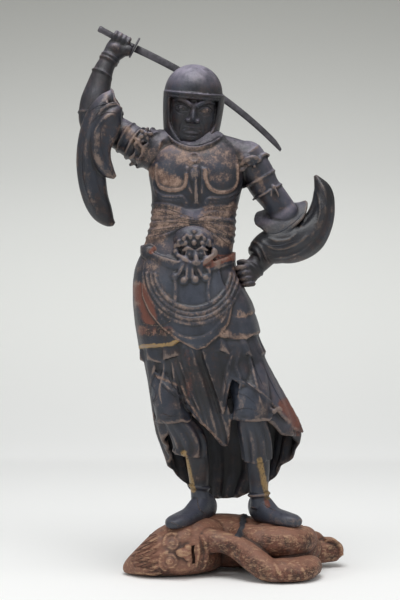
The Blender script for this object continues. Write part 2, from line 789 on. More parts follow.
def legs():
    def crumple(angle, share):
        return 0.05 * np.sin(5 * angle + 6 * share) * np.clip(share * 3 - 1, 0, 1)

    def pleated(angle, share):
        return 0.09 * np.cos(9 * angle + 0.8) * np.clip(share * 1.6, 0, 1)

    right = [
        limb([
            (-44, 4, 352, 40, 32), (-49, -16, 328, 34, 29), (-53, -30, 304, 29, 27),
            (-51, -34, 282, 28, 27), (-46, -33, 264, 30, 28), (-45, -32, 256, 29, 27),
        ], fold=crumple),
        limb([
            (-50, -31, 276, 17, 19), (-40, -26, 256, 21, 23), (-24, -17, 232, 26, 26),
            (-16, -10, 212, 28, 27), (-17, -8, 196, 29, 28),
        ], around=54, fold=pleated),
        limb([
            (-8, -6, 214, 20, 22), (-4, -3, 186, 20, 22), (-2, 0, 160, 18, 20), (-1, 4, 136, 15.5, 18),
            (2, 6, 112, 17, 21),
        ]),
    ]
    left = [
        limb([
            (66, -4, 356, 42, 34), (78, -24, 328, 37, 30), (85, -38, 304, 33, 29),
            (87, -44, 284, 32, 29), (87, -44, 268, 34, 30), (87, -43, 260, 33, 29),
        ], fold=crumple),
        limb([
            (84, -41, 272, 21, 20), (88, -34, 250, 25, 24), (95, -24, 220, 26, 26),
            (98, -16, 190, 25, 26),
        ], around=54, fold=pleated),
        limb([
            (99, -14, 206, 20, 22), (100, -9, 170, 19, 21), (101, -4, 134, 16, 18),
            (103, -2, 106, 17, 21),
        ]),
    ]
    hems = []
    for centre, wide, deep in (((-45, -32, 257), 29, 27), ((87, -43, 261), 33, 29)):
        hems.append(ringOn(centre, skyWay, (1, 0, 0), viewerWay, wide, deep, 2.6, 2.4, 5))
    return [right[0], left[0], *hems], [*right[1:], *left[1:]]


def legTrim():
    trim = []
    for place, turn, sizes in (
        ((-1, 4, 139), (0, 8, 0), (17, 19.5)),
        ((101, -4, 127), (0, -6, 0), (17.5, 19.5)),
    ):
        angle = circle(48)
        ring = np.stack([sizes[0] * np.cos(angle), sizes[1] * np.sin(angle), 0 * angle], 1)
        trim.append(closedCord(ring @ turned(turn).T + np.array(place), 2.6))
    return trim


footTable = {  # middle x, y and z, half width, half height
    "right": [
        (20, 28, 92, 10, 11), (13, 18, 100, 16, 22), (3, 4, 103, 17, 25), (-14, -26, 94, 18.5, 15.5),
        (-29, -52, 91, 20, 12), (-40, -72, 89, 19, 10.5), (-47, -86, 87, 12, 7.5), (-49, -90, 86, 6, 5),
    ],
    "left": [
        (94, 24, 92, 10, 11), (98, 14, 100, 15, 22), (105, 0, 103, 17, 25), (122, -24, 94, 18.5, 15.5),
        (140, -44, 91, 20, 12.5), (154, -57, 89, 19, 11), (163, -65, 87.5, 12, 8),
        (166, -68, 86.5, 6, 5),
    ],
}


def boots():
    return [limb(stations, around=36, front=skyWay, square=2.5) for stations in footTable.values()]


# Ornament laid on the trunk and the skirts


def arcPath(centre, wide, tall, start, end, count=24):
    angle = np.radians(np.linspace(start, end, count))
    return np.stack([centre[0] + wide * np.cos(angle), centre[1] + tall * np.sin(angle)], 1)


def chestTrim(skin):
    left = [(-74, 690), (-74, 668), (-68, 652), (-52, 645), (-34, 646), (-25, 654), (-23, 672)]
    right = [(8, 680), (11, 658), (20, 646), (36, 641), (54, 646), (63, 660), (64, 688)]
    underLeft = [(-80, 668), (-76, 648), (-64, 636), (-44, 633), (-30, 633), (-22, 622)]
    underRight = [(72, 662), (66, 646), (48, 634), (28, 631), (14, 630), (8, 622)]
    trim = [laidCord(skin, path, 0.6, 2.6) for path in (left, right)]
    for path in (underLeft, underRight):
        trim.append(laidCord(skin, path, 0.2, 1.9))
        trim.append(laidCord(skin, [(x, z - 6) for x, z in path], 0.0, 1.5))
    trim.append(laidCord(skin, [(-8, 684), (-7, 655), (-6, 622)], 0.5, 4.0))
    trim.append(laidCord(skin, [(-22, 682), (-20, 655), (-14, 640)], 0.4, 1.6))
    trim.append(laidCord(skin, [(4, 682), (5, 660), (3, 640)], 0.4, 1.6))
    trim.append(blob(skin.front(-9, 670), (8, 5, 12)))
    ring = [skin.front(x, z, 0.2) for x, z in arcPath((-10, 699), 8.5, 7.5, 0, 345, 22)]
    trim.append(closedCord(ring, 1.5))
    return trim


def waistSash(skin):
    trim = []
    for drawn, left, right, radius in (
        (608, 622, 618, 2.6), (604, 610, 606, 3.2), (600, 599, 594, 3.4), (596, 589, 582, 3.4),
        (592, 578, 571, 3.4), (588, 566, 560, 3.0),
    ):
        path = []
        for angle in np.linspace(-270, 90, 72, endpoint=False):
            away = min(1.0, abs(math.remainder(angle + 92, 360)) / 55)
            spread = away * away * (3 - 2 * away)
            side = (1 + math.cos(math.radians(angle))) / 2
            z = drawn + (left + (right - left) * side - drawn) * spread
            point = skin.round(angle, z, (-11, 0), -radius * 0.35)
            if point is not None:
                path.append(point)
        trim.append(closedCord(path, radius))
    return trim


def belt(skin):
    path = []
    for angle in np.linspace(-180, 180, 72, endpoint=False):
        turn = math.radians(angle)
        front = max(0.0, -math.sin(turn))
        z = 541 - 6 * math.cos(turn) - 26 * front**1.5
        point = skin.round(angle, z, (-18, 0), 1.4)
        if point is not None:
            path.append(point)
    path = np.array(path)
    rows = [path + np.array((0, 0, dz)) for dz in (-7, -3.5, 0, 3.5, 7)]
    return [slab(rows, 5.0, cyclic=True)]


def lionMask(skin):
    x0, y0, z0 = skin.front(-12, 548)
    dome = blob((x0, y0 + 12, z0 + 11), (36, 23, 28), (0, 0, 0), 48, 28)
    cap = Skin([dome])
    lumps = [
        dome,
        blob((x0 + 4, y0 + 2, z0 - 14), (22, 17, 15)),
        cord([(x0 + 4, y0 - 9, z0 - 7), (x0 + 5, y0 - 15, z0 - 17), (x0 + 6, y0 - 18, z0 - 24)], [4, 5, 5]),
        blob((x0 + 6, y0 - 16, z0 - 27), (9, 8, 6)),
    ]
    for side in (-1, 1):
        eye = np.array((x0 + 4.5 + side * 9.5, y0 - 12, z0 - 12))
        lumps.append(blob(eye, (4.4, 4, 4.4)))
        ring = [eye + (6.6 * math.cos(a), -1, 6 * math.sin(a)) for a in circle(20)]
        lumps.append(closedCord(np.array(ring), 1.7))
        brow = [
            (x0 + 4 + side * 3, y0 - 13, z0 - 5),
            (x0 + 4 + side * 12, y0 - 13, z0 - 2),
            (x0 + 4 + side * 22, y0 - 8, z0 - 6),
        ]
        lumps.append(cord(brow, [2.2, 3.2, 2.0]))
        jaw = [
            (x0 + 5 + side * 9, y0 - 15, z0 - 30),
            (x0 + 5 + side * 18, y0 - 13, z0 - 22),
            (x0 + 4 + side * 30, y0 - 5, z0 - 14),
        ]
        lumps.append(cord(jaw, [4.5, 6.5, 4.5]))
        lumps.append(blob((x0 + 4 + side * 32, y0 - 1, z0 - 9), (6, 6, 8)))
        fang = [(x0 + 6 + side * 8, y0 - 17, z0 - 32), (x0 + 6 + side * 8, y0 - 16, z0 - 41)]
        lumps.append(cord(fang, [2.6, 1.4]))
        for drop in range(2):
            tail = [
                (x0 + 4 + side * (12 + 8 * drop), y0 - 12, z0 - 34),
                (x0 + 4 + side * (15 + 8 * drop), y0 - 12, z0 - 46 + 4 * drop),
                (x0 + 4 + side * (11 + 8 * drop), y0 - 11, z0 - 55 + 5 * drop),
                (x0 + 4 + side * (6 + 8 * drop), y0 - 11, z0 - 50 + 5 * drop),
            ]
            lumps.append(cord(tail, [4.2, 4.4, 3.6, 2.4]))
    for count, wide, tall, size in ((7, 31, 7, 4.6), (8, 30, 17, 4.2), (5, 19, 26, 3.6)):
        for x, z in arcPath((x0 + 2, z0), wide, tall, 10, 170, count):
            place = cap.front(x, z, 1.2)
            if place is not None:
                lumps.append(blob(place, (size, size, size), around=12, rings=8))
    for row, (count, drop) in enumerate(((3, 43), (2, 51))):
        for i in range(count):
            lumps.append(blob((x0 + 6 + (i - (count - 1) / 2) * 8, y0 - 11 + row, z0 - drop), (4, 4.6, 5)))
    return lumps


def apronTrim(skin):
    trim = []
    for x, bend in ((-41, -3), (14, 3)):
        edge = [(x + bend, 500), (x, 488), (x, 470), (x + bend / 2, 450)]
        trim.append(laidCord(skin, edge, 0.4, 2.0))
    swags = (
        ((-12, 512), 64, 66, 2.6, 186, 354),
        ((-12, 512), 71, 76, 2.2, 185, 354),
        ((-12, 512), 78, 84, 2.8, 184, 356),
        ((-12, 512), 85, 92, 1.8, 184, 356),
        ((-12, 484), 66, 88, 1.6, 212, 330),
    )
    for centre, wide, tall, radius, start, end in swags:
        trim.append(laidCord(skin, arcPath(centre, wide, tall, start, end), 0.3, radius, 1))
    return trim


def sideKnot(skin):
    x, y, z = skin.front(-85, 541)
    ring = np.array([(x + 12 * math.cos(a), y - 6, z + 12 * math.sin(a)) for a in circle(24)])
    return [
        blob((x, y - 3, z), (11, 9, 11)),
        closedCord(ring, 2.4),
        cord([(x + 8, y - 4, z - 1), (x + 26, y - 14, z - 10), (x + 52, y - 26, z - 25)], [4, 5, 4]),
    ]


def kneeBows():
    lumps = []
    for x, y, z in ((124, -48, 272), (128, -44, 246)):
        for side in (-1, 1):
            loop = [(x, y, z), (x + side * 9, y - 3, z + 5), (x + side * 14, y - 2, z + 1)]
            lumps.append(cord(loop, [3, 5, 2.4]))
        lumps.append(blob((x, y - 3, z), (4.5, 4.5, 4.5)))
    return lumps


# Fine carving that the solids leave out, on the face, shoulders, hood, knees and mask


def faceDetail():
    skin = Skin([face()])
    lumps, eyes = [], []
    for side in (-1, 1):
        eye = skin.front(side * 18.5, -5.2)
        eyes.append(blob(eye + np.array((0, 1.0, 0)), (7.4, 3.4, 3.8), (0, side * -8, 0)))
        lumps.append(eyes[-1])
        for places, lift, sizes in (
            ([(8, -7.5), (12, -2.6), (18, -0.4), (24, -0.8), (31, -4.5)], 1.6, [0.8, 1.6, 1.9, 1.7, 0.8]),
            ([(9, -8.2), (15, -10.6), (22, -10.2), (29, -6.0)], 0.8, [0.8, 1.3, 1.3, 0.8]),
            ([(4.5, -0.5), (9, 4.6), (17, 8.6), (26, 10.0), (35, 7.0)], 1.4, [2.6, 4.2, 3.8, 3.0, 1.4]),
            ([(10, -20.5), (15, -27), (18.5, -34), (19.5, -41)], 0.0, [1.0, 2.4, 2.4, 1.2]),
            ([(12, -15), (20, -15.5), (29, -12)], -0.6, [1.0, 2.0, 1.0]),
        ):
            lumps.append(laidCord(skin, [(side * x, z) for x, z in places], lift, sizes, 3, 10, 1))
        lumps.append(blob(skin.front(side * 7.6, -24.0, -1.0), (3.6, 4.4, 3.2)))
        frown = [(side * 2.6, 3), (side * 3.4, 9), (side * 2.6, 15)]
        lumps.append(laidCord(skin, frown, 0.0, 1.2, 3, 8, 1))
    upperLip = [(-16, -42.0), (-8, -37.8), (0, -38.2), (8, -37.8), (16, -42.0)]
    lowerLip = [(-12, -44.4), (0, -45.0), (12, -44.4)]
    chin = [(-9, -51.5), (0, -50.2), (9, -51.5)]
    lumps.append(laidCord(skin, upperLip, 0.5, [0.8, 1.8, 1.7, 1.8, 0.8], 3, 10, 1))
    lumps.append(laidCord(skin, lowerLip, 0.3, [0.9, 2.1, 0.9], 4, 10, 1))
    lumps.append(laidCord(skin, chin, 0.0, [0.6, 1.6, 0.6], 4, 10, 1))
    return [[moved(lump, headTurn, headPlace) for lump in each] for each in (lumps, eyes)]


def shoulderKnots():
    lumps = []
    for x, y, z, size in ((-92, -26, 742, 8), (-104, -24, 730, 7), (90, -28, 694, 7)):
        for turn in circle(5):
            petal = (x + size * math.cos(turn), y, z + size * math.sin(turn))
            lumps.append(blob(petal, (size * 0.62, 4.2, size * 0.4), (0, -math.degrees(turn), 0), 16, 10))
        lumps.append(blob((x, y - 2, z), (size * 0.42, 4.6, size * 0.42), around=16, rings=10))
    leaf = [(70, -24, 690), (80, -29, 697), (92, -30, 700), (104, -24, 696)]
    lumps.append(cord(leaf, [2.0, 6.0, 6.0, 2.0], 12))
    return lumps


def seenOn(skin, path, deep=-50.0, lift=0.0, steps=4):  # path in picture points, as in the strokes below
    scale = (viewDistance + deep) / viewScale
    across, down = (np.asarray(path, float) - pictureMiddle).T * scale
    return skin.frontPath(np.stack([across, viewHeight - down], 1), lift, steps)


def hoodHem():
    skin = Skin([*trunk(), *head()])
    hem = [(168, 134), (173, 140), (181, 145.5), (190, 148.5), (200, 148), (210, 144.5), (218, 139.5)]
    hem = seenOn(skin, [*hem, (224, 133)], -40.0, 1.5)
    return [cord(hem, [1.2, 3.4, 3.8, 3.8, 3.8, 3.4, 1.2], 12, 1)]


def kneeFolds(cloths, robePieces):
    skin = Skin([*cloths, *robePieces])
    lumps = []
    for path, radius in (
        ([(156, 358), (153, 374), (151, 392), (154, 406)], 3.4),
        ([(164, 356), (164, 372), (160, 390), (163, 408)], 3.0),
        ([(172, 358), (174, 374), (176, 390), (180, 408)], 3.2),
        ([(154, 372), (164, 384), (176, 394), (190, 404), (203, 424)], 2.6),
        ([(180, 362), (186, 378), (193, 396), (200, 412)], 3.0),
        ([(232, 352), (228, 370), (224, 388), (222, 404)], 3.4),
        ([(240, 352), (236, 366), (240, 380), (238, 398)], 2.8),
        ([(248, 352), (252, 368), (256, 384), (260, 402)], 3.4),
        ([(232, 378), (246, 383), (260, 392), (272, 402)], 2.6),
    ):
        lumps.append(cord(seenOn(skin, path), [radius * 0.4, radius, radius, radius * 0.4], 10, 1))
    return lumps


def maskBeard(skin):
    lumps = []

    def knobAt(px, py):
        return seenOn(skin, [(px, py), (px, py + 0.1)], -60.0, 1.0, 1)[0]

    knobs = ((175, 277, 3.0, 1), (184, 281, 3.0, 1), (195, 280, 3.2, -1), (205, 278, 3.0, -1))
    for px, py, size, turn in knobs:
        knob = knobAt(px, py)
        lumps.append(blob(knob, (size * 2.1, 4.6, size * 2.1)))
        lumps.append(blob(knob - np.array((0, 4.2, 0)), (size * 0.9, 2.4, size * 0.9)))
        root = (190 + (px - 190) * 0.35, 263)
        strand = [root, ((root[0] + px) / 2 + turn * 1.5, 270), (px + turn * 2.6, py - 1)]
        lumps.append(cord(seenOn(skin, strand, -60.0, 1.5), [5.2, 4.2, 3.4], 10, 1))
    for px, py in ((183, 262), (190, 265), (198, 265), (206, 261)):
        lumps.append(blob(knobAt(px, py), (7, 6, 7)))
    return lumps


# The sword


def swordBar(rows, sides):
    angle = circle(sides)
    rings = []
    for shift, radius in rows:
        rings.append(ringOf(fistMiddle + swordAlong * shift, swordUp, swordFront, radius, radius, angle))
    return loft(rings)


bladeWay = unitRows(np.array((0.819, 0.189, -0.542)))  # the chord from the guard to the point


def bladeLump():
    length, half = bladeLook["length"], bladeLook["width"] / 2
    thick = bladeLook["thickness"] / 2
    root = fistMiddle + swordAlong * (guardEnd + fittingGap)
    up = unitRows(swordUp - bladeWay * np.dot(swordUp, bladeWay))
    face = np.cross(bladeWay, up)
    rings = []
    for t in np.concatenate([np.linspace(0, 0.92, 16), [0.95, 0.975, 0.992, 1.0]]):
        bow = bladeLook["bow"] * 4 * t * (1 - t) * (0.9 + 0.2 * t)
        middle = root + bladeWay * length * t + up * bow
        narrow = half * (1 - 0.22 * t)
        point = min(1.0, (1 - t) / 0.06)
        above = narrow * (0.12 + 0.88 * point**0.7)
        below = narrow
        if t > 0.94:
            below = narrow * (1 - 0.15 * (t - 0.94) / 0.06)
        wide = thick * (1 - 0.3 * t) * (0.35 + 0.65 * point)
        outline = [(above, 0.12), (above * 0.55, 0.62), (-below * 0.5, 1.0)]
        outline += [(-below * 0.85, 0.9), (-below, 0.45)]
        ring = [middle + up * a + face * wide * b for a, b in outline]
        ring += [middle + up * a - face * wide * b for a, b in reversed(outline)]
        rings.append(ring)
    rings = np.array(rings)
    short = np.minimum(0.0, (rings - root) @ swordAlong)
    return loft(rings - short[..., None] * swordAlong)


# The demon underfoot


def demonHead():
    return [
        limb([
            (-111, 6, 7, 9, 16), (-105, 1, 12, 14, 38), (-97, -6, 17, 20, 56), (-80, -14, 25, 29, 66),
            (-62, -20, 33, 37, 70), (-42, -24, 38, 43, 70), (-18, -22, 41, 45, 64),
            (4, -10, 42, 46, 44), (20, 4, 40, 42, 34),
        ], around=56, square=3.0),
        blob((-34, -56, 62), (36, 36, 24)),
        blob((8, -10, 62), (34, 36, 24)),
        blob((-68, -34, 66), (6, 8, 7)),
    ]


def demonBody():
    return [
        limb([
            (-10, 12, 42, 44, 52), (34, 24, 44, 45, 56), (72, 26, 42, 44, 54), (110, 22, 40, 40, 54),
            (146, 12, 38, 40, 56), (172, 6, 34, 36, 48), (190, 8, 28, 26, 34), (200, 10, 22, 12, 18),
        ], around=48, square=2.5),
        limb([
            (62, -22, 62, 20, 20), (84, -46, 57, 25, 26), (110, -62, 55, 26, 28),
            (144, -64, 55, 26, 28), (168, -46, 55, 24, 24), (178, -18, 52, 23, 22),
            (176, 14, 46, 24, 22),
        ], around=32),
        blob((126, -30, 58), (48, 46, 25)),
        limb([(180, 30, 34, 22, 24), (200, 50, 36, 20, 18), (212, 58, 34, 13, 12)]),
    ]


def demonArm():
    arm = limb([
        (-6, -46, 52, 22, 22), (14, -60, 56, 21, 22), (36, -66, 55, 18, 20), (58, -72, 49, 19, 20),
        (78, -84, 38, 21, 22), (96, -97, 25, 21, 26), (116, -103, 14, 20, 31), (140, -101, 13, 20, 35),
        (160, -90, 13, 20, 35), (174, -68, 14, 19, 30), (182, -42, 14, 16, 24),
    ], around=36, square=2.3)
    knuckles = []
    for i in range(4):
        x = 126 + 13 * i
        finger = [(x - 6, -124 + 2 * i, 30), (x + 2, -134 + 3 * i, 18), (x + 8, -136 + 4 * i, 5)]
        knuckles.append(cord(finger, [2.5, 4.4, 3.6], 10))
    return [arm, blob((150, -72, 14), (38, 44, 19)), *knuckles]


def demonFoot():
    foot = limb([
        (184, 20, 22, 18, 22), (206, 32, 23, 20, 23), (224, 40, 24, 20, 24), (238, 44, 22, 17, 22),
        (246, 46, 19, 8, 13),
    ], around=28, square=2.6)
    toes = []
    for i in range(4):
        y = 22 + 9 * i
        toe = [(216, y, 45 - i), (231, y + 1, 43 - i), (242, y + 1, 31 - i), (245, y, 17)]
        toes.append(cord(toe, [4.2, 4.8, 4.6, 4.2], 10))
    return [foot, *toes]


def demonTrim(skin):
    trim = []
    for i in range(6):
        z = 66 - 11.5 * i
        path = []
        for t in np.linspace(0, 1, 12):
            found = skin.front(-64 - 44 * t, z * (1 - 0.5 * t) + 1.6 * math.sin(6 * t + 2 * i), -1.0)
            if found is not None:
                path.append(found)
        trim.append(cord(path, [3.0, 5.4, 5.0, 3.0], 10, 2))
    for x, z, ring, ball in ((-45.5, 57, 8.2, 5.6), (-50, 28, 10.5, 7.0)):
        middle = skin.front(x, z)
        trim.append(blob(middle + np.array((0, -1, 0)), (ball, ball * 0.8, ball)))
        path = [skin.front(*place, 0.6) for place in arcPath((x, z), ring, ring, 0, 348, 28)]
        trim.append(closedCord(path, 2.2))
    for start, end, x, z, size in ((100, 250, -50, 27, 16), (60, 200, -45, 58, 14)):
        path = [skin.front(*place, 0.2) for place in arcPath((x, z), size, size, start, end, 12)]
        trim.append(cord(path, 3.2, 10, 2))
    x, y, z = skin.front(-27, 42)
    trim.append(blob((x, y - 3, z), (13, 10, 8)))
    trim += [blob((x + 7, y - 3, z + side * 8), (6, 7, 6)) for side in (-1, 1)]
    for dx in (-6.5, 6.5):
        heights = (56, 48, 40, 32, 24, 17)
        lip = [skin.front(-10.5 + dx + 1.6 * math.sin(k), z, 0.2) for k, z in enumerate(heights)]
        trim.append(cord(lip, [1.5, 3.0, 3.4, 3.0, 1.5], 10, 3))
    cheek = [skin.front(x, z, 0.2) for x, z in ((2, 68), (8, 56), (11, 40), (9, 24), (3, 10))]
    trim.append(cord(cheek, [3, 4.5, 5, 4.5, 3], 10, 3))
    band = skin.frontPath([(77, 90), (75, 85), (72, 79), (68, 73), (63, 66)], 0.0, 1)
    back = []
    for x, y in ((79, 10), (78, 34), (74, 60)):
        top = skin.tree.ray_cast(Vector((x, y, 300)), Vector((0, 0, -1)))[0]
        back.append((x, y, top[2] - 0.5))
    trim.append(limb([(*p, 5.4, 2.0) for p in (*back[::-1], *band)], around=16, steps=3))
    return trim


def mouthSlot():
    rings = []
    for y in (-130, -78):
        left = [(-14.2, 52), (-14.4, 44), (-13.6, 36), (-12.8, 30), (-13.4, 22)]
        right = [(-8.2, 22), (-7.6, 30), (-8.6, 36), (-9.8, 44), (-8.6, 53)]
        rings.append([(x, y, z) for x, z in left + right])
    return loft(rings)


# Materials, procedural, driven by the marks each mesh carries


def linearColour(code):
    parts = [int(code[i : i + 2], 16) / 255 for i in (1, 3, 5)]
    return (*[p / 12.92 if p <= 0.04045 else ((p + 0.055) / 1.055) ** 2.4 for p in parts], 1.0)


def shaderTree(name):
    made = bpy.data.materials.new(name)
    made.use_nodes = True
    tree = made.node_tree
    return made, tree, tree.nodes["Principled BSDF"]


def wired(tree, start, outputName, end, inputName):
    tree.links.new(start.outputs[outputName], end.inputs[inputName])


def valueOf(tree, what):
    node = tree.nodes.new("ShaderNodeAttribute")
    node.attribute_name = what
    return node.outputs["Fac"]


def noiseOf(tree, scale, detail, roughness=0.6, stretch=(1, 1, 1), distortion=0.0):
    place = tree.nodes.new("ShaderNodeTexCoord")
    mapping = tree.nodes.new("ShaderNodeMapping")
    mapping.inputs["Scale"].default_value = stretch
    noise = tree.nodes.new("ShaderNodeTexNoise")
    noise.inputs["Scale"].default_value = scale
    noise.inputs["Detail"].default_value = detail
    noise.inputs["Roughness"].default_value = roughness
    noise.inputs["Distortion"].default_value = distortion
    wired(tree, place, "Object", mapping, "Vector")
    wired(tree, mapping, "Vector", noise, "Vector")
    return noise.outputs["Fac"]


def maths(tree, kind, a, b=0.0, clamp=False):
    node = tree.nodes.new("ShaderNodeMath")  # the same node serves shaders and geometry
    node.operation = kind
    node.use_clamp = clamp
    for i, item in enumerate((a, b)):
        if isinstance(item, (int, float)):
            node.inputs[i].default_value = item
        else:
            tree.links.new(item, node.inputs[i])
    return node.outputs[0]


def times(tree, a, b, clamp=False):
    return maths(tree, "MULTIPLY", a, b, clamp)


def plus(tree, a, b, clamp=False):
    return maths(tree, "ADD", a, b, clamp)


def steps(tree, item, low, high, out=(0.0, 1.0)):
    node = tree.nodes.new("ShaderNodeMapRange")
    node.interpolation_type = "SMOOTHSTEP"
    tree.links.new(item, node.inputs["Value"])
    for slot, number in zip(("From Min", "From Max", "To Min", "To Max"), (low, high, *out)):
        node.inputs[slot].default_value = number
    return node.outputs["Result"]


def mixed(tree, share, first, second):
    node = tree.nodes.new("ShaderNodeMix")
    node.data_type = "RGBA"
    for socket, item in ((node.inputs[0], share), (node.inputs[6], first), (node.inputs[7], second)):
        if isinstance(item, str):
            socket.default_value = linearColour(item)
        elif isinstance(item, (int, float)):
            socket.default_value = item
        else:
            tree.links.new(item, socket)
    return node.outputs[2]


def bumped(tree, shader, height, strength, distance):
    node = tree.nodes.new("ShaderNodeBump")
    node.inputs["Strength"].default_value = strength
    node.inputs["Distance"].default_value = distance
    tree.links.new(height, node.inputs["Height"])
    wired(tree, node, "Normal", shader, "Normal")


lacquerColours = {
    "deep": "#0a0909",
    "dark": "#131216",
    "slate": "#242935",
    "sheen": "#827d8c",
    "blue": "#393f4b",
    "ochre": "#634a3d",
    "tan": "#9a8070",
    "brown": "#36241f",
    "red": "#6b3a2a",
    "gilt": "#94784a",
    "edge": "#837166",
    "roughness": 0.42,
    "relief": 0.75,
    "cloudScale": 9,
    "flakeScale": 48,
    "speckScale": 330,
    "dentScale": 75,
}


def lacquerMaterial(name, look):
    made, tree, shader = shaderTree(name)
    large = noiseOf(tree, look["cloudScale"], 6)
    small = noiseOf(tree, look["flakeScale"], 9, 0.75)
    fine = noiseOf(tree, look["speckScale"], 4, 0.7)
    specks = plus(tree, times(tree, small, 0.7), times(tree, fine, 0.3))
    colour = mixed(tree, steps(tree, large, 0.35, 0.65), look["dark"], look["slate"])
    colour = mixed(tree, times(tree, steps(tree, small, 0.46, 0.62), 0.6), colour, look["brown"])
    cloudy = plus(tree, times(tree, large, 0.8), times(tree, small, 0.8))
    for mark, colourName, low, high in (("dust", "sheen", 0.5, 1.05), ("blue", "blue", 0.45, 0.95)):
        share = times(tree, valueOf(tree, mark), steps(tree, cloudy, low, high), clamp=True)
        colour = mixed(tree, share, colour, look[colourName])
    reach = plus(tree, times(tree, specks, 0.72), times(tree, large, 0.28))

    def patch(mark, strength, low, high):
        return steps(tree, plus(tree, reach, times(tree, valueOf(tree, mark), strength)), low, high)

    colour = mixed(tree, times(tree, patch("red", 0.40, 0.68, 0.84), 0.9), colour, look["red"])
    wornShare = patch("worn", 0.30, 0.62, 0.82)
    tan = mixed(tree, steps(tree, specks, 0.42, 0.60), look["ochre"], look["tan"])
    colour = mixed(tree, times(tree, wornShare, 0.92), colour, tan)
    colour = mixed(tree, patch("gilt", 0.36, 0.68, 0.86), colour, look["gilt"])
    chipped = times(tree, valueOf(tree, "edge"), steps(tree, large, 0.38, 0.62, (0.10, 0.29)))
    edgeShare = steps(tree, plus(tree, specks, chipped), 0.60, 0.80)
    colour = mixed(tree, times(tree, edgeShare, 0.7), colour, look["edge"])
    colour = mixed(tree, times(tree, valueOf(tree, "deep"), 0.8, clamp=True), colour, look["deep"])
    tree.links.new(colour, shader.inputs["Base Color"])
    dull = plus(tree, times(tree, wornShare, 0.25), times(tree, small, 0.2))
    tree.links.new(plus(tree, dull, look["roughness"] - 0.1, clamp=True), shader.inputs["Roughness"])
    height = maths(tree, "SUBTRACT", specks, times(tree, wornShare, 0.25))
    hollows = noiseOf(tree, look["dentScale"], 3, 0.5)
    dents = times(tree, hollows, times(tree, valueOf(tree, "dust"), 1.6))
    bumped(tree, shader, plus(tree, height, dents), look["relief"], 0.0018)
    return made


demonColours = {
    "dark": "#3c2419",
    "body": "#643b2b",
    "light": "#8e6451",
    "ochre": "#be9b79",
    "grey": "#5d5654",
    "band": "#2b2b31",
    "deep": "#1c0f0b",
    "roughness": 0.66,
    "relief": 0.7,
    "flakeScale": 52,
    "speckScale": 330,
    "chiselScale": 95,
    "greyScale": 22,
}


def demonMaterial(name, look):
    made, tree, shader = shaderTree(name)
    small = noiseOf(tree, look["flakeScale"], 9, 0.75)
    fine = noiseOf(tree, look["speckScale"], 4, 0.7)
    chisel = noiseOf(tree, look["chiselScale"], 3, 0.5, (0.45, 1.2, 1.6), 1.6)
    specks = plus(tree, times(tree, small, 0.6), times(tree, fine, 0.4))
    colour = mixed(tree, steps(tree, small, 0.38, 0.60), look["dark"], look["body"])
    lit = plus(tree, specks, times(tree, valueOf(tree, "dust"), 0.22))
    colour = mixed(tree, times(tree, steps(tree, lit, 0.47, 0.68), 0.68), colour, look["light"])
    greyed = steps(tree, noiseOf(tree, look["greyScale"], 6, 0.7), 0.52, 0.68)
    colour = mixed(tree, times(tree, greyed, 0.4), colour, look["grey"])
    pale = plus(tree, times(tree, chisel, 0.6), times(tree, valueOf(tree, "edge"), 0.12))
    pale = plus(tree, pale, times(tree, fine, 0.3))
    colour = mixed(tree, times(tree, steps(tree, pale, 0.46, 0.66), 0.6), colour, look["ochre"])
    colour = mixed(tree, times(tree, valueOf(tree, "deep"), 0.75, clamp=True), colour, look["deep"])
    colour = mixed(tree, valueOf(tree, "band"), colour, look["band"])
    tree.links.new(colour, shader.inputs["Base Color"])
    shader.inputs["Roughness"].default_value = look["roughness"]
    height = plus(tree, times(tree, chisel, 1.1), times(tree, specks, 0.7))
    bumped(tree, shader, height, look["relief"], 0.0016)
    return made


swordColours = {"dark": "#333236", "light": "#504d53", "roughness": 0.5, "metal": 0.15, "flakeScale": 40}


def metalMaterial(name, look):
    made, tree, shader = shaderTree(name)
    flakes = steps(tree, noiseOf(tree, look["flakeScale"], 7, 0.7), 0.4, 0.62)
    colour = mixed(tree, flakes, look["dark"], look["light"])
    tree.links.new(colour, shader.inputs["Base Color"])
    shader.inputs["Roughness"].default_value = look["roughness"]
    shader.inputs["Metallic"].default_value = look["metal"]
    return made


giltColours = {"bare": "#463120", "worn": "#8a6c3e", "pale": "#c9ab72", "roughness": 0.5}
clothColours = {"bare": "#2c2626", "worn": "#846b5b", "pale": "#b39c89", "roughness": 0.62}


def flakedMaterial(name, look):
    made, tree, shader = shaderTree(name)
    small, fine = noiseOf(tree, 60, 8, 0.75), noiseOf(tree, 340, 4, 0.7)
    specks = plus(tree, times(tree, small, 0.6), times(tree, fine, 0.4))
    colour = mixed(tree, steps(tree, specks, 0.46, 0.66), look["bare"], look["worn"])
    colour = mixed(tree, steps(tree, fine, 0.55, 0.75), colour, look["pale"])
    tree.links.new(colour, shader.inputs["Base Color"])
    shader.inputs["Roughness"].default_value = look["roughness"]
    bumped(tree, shader, specks, 0.4, 0.0008)
    return made


# Marks on the meshes: edges, hollows, dust and the painted areas


def turnOf(points, normals, edges, rounds):
    middle = points
    for _ in range(rounds):
        middle = neighbourMean(middle, edges)
    return ((points - middle) * normals).sum(1)


def viewPlaces(points):
    away = viewDistance + points[:, 1]
    return np.stack([viewScale * points[:, 0] / away, viewScale * (points[:, 2] - viewHeight) / away], 1)


def strokeShare(places, path, radius):
    path = (np.asarray(path, float) - pictureMiddle) * (1, -1)
    nearest = np.full(len(places), np.inf)
    for start, end in zip(path[:-1], path[1:]):
        way = end - start
        t = np.clip(((places - start) @ way) / max(way @ way, 1e-9), 0, 1)
        nearest = np.minimum(nearest, np.linalg.norm(places - start - t[:, None] * way, axis=1))
    return np.clip(1.5 - nearest / radius, 0, 1)


